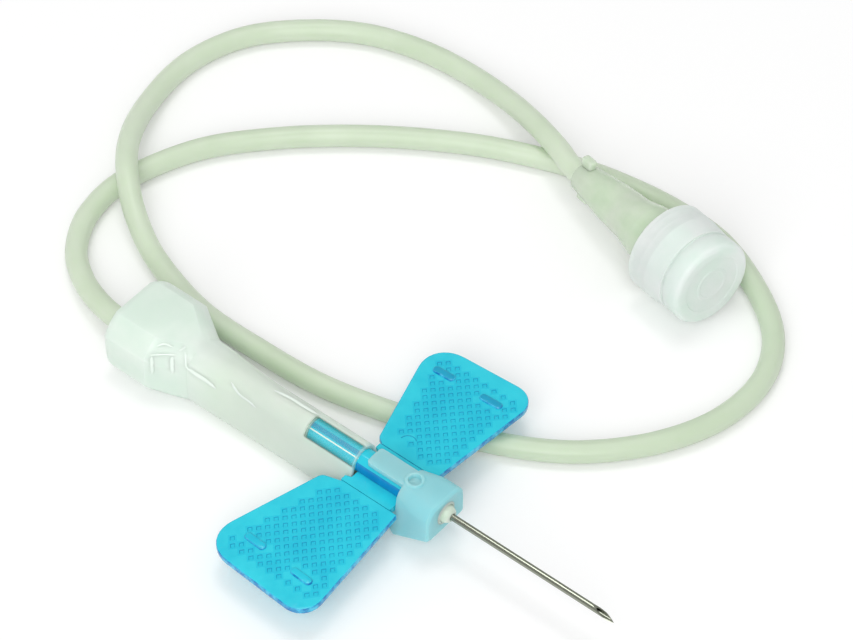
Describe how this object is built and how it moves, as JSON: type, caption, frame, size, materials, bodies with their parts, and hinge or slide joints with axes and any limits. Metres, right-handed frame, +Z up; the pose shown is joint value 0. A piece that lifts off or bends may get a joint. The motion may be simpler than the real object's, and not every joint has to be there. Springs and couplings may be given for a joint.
{
  "type": "butterfly needle",
  "caption": "Winged infusion needle with a sliding frosted safety shield, blue butterfly wings, flexible line and capped luer connector.",
  "frame": {"origin": "on the table plane, midway between the shield's rear face and the needle tip, under the needle's axis", "axes": "+X along the needle toward its tip, +Y toward the left wing, +Z up off the table"},
  "size_m": [0.0781, 0.0644, 0.0095],
  "materials": {
    "steel": "polished thin stainless tube",
    "adhesive": "cured cream adhesive, smooth",
    "hub_plastic": "natural rigid plastic",
    "frosted_plastic": "frosted translucent mint-white moulding",
    "blue_plastic": "clear cyan-blue soft moulding",
    "pvc": "clear pale green flexible tubing",
    "clear_plastic": "clear greenish rigid moulding",
    "cap_plastic": "frosted mint-white moulding"
  },
  "bodies": {
    "needle_line": {"cannula": "steel", "adhesive_bead": "adhesive", "needle_hub": "hub_plastic", "tubing": "pvc", "luer_connector": "clear_plastic"},
    "shield": {"shield_housing": "frosted_plastic", "wing_body": "blue_plastic"},
    "left_wing": {"left_wing": "blue_plastic"},
    "right_wing": {"right_wing": "blue_plastic"},
    "cap": {"luer_cap": "cap_plastic"}
  },
  "joints": [
    {"name": "shield_slide", "type": "slide", "parent": "needle_line", "child": "shield", "axis": [1, 0, 0], "range_m": [0, 0.0201]},
    {"name": "left_wing_fold", "type": "hinge", "parent": "shield", "child": "left_wing", "pos_m": [0.0025, 0.00277, 0.0042], "axis": [1, 0, 0], "range_deg": [0, 85], "stiffness_Nm_per_rad": 0.0002},
    {"name": "right_wing_fold", "type": "hinge", "parent": "shield", "child": "right_wing", "pos_m": [0.0025, -0.00277, 0.0042], "axis": [-1, 0, 0], "range_deg": [0, 85], "stiffness_Nm_per_rad": 0.0002},
    {"name": "cap_pull", "type": "slide", "parent": "needle_line", "child": "cap", "axis": [0.972, -0.2244, 0.0698], "range_m": [0, 0.0045]}
  ]
}
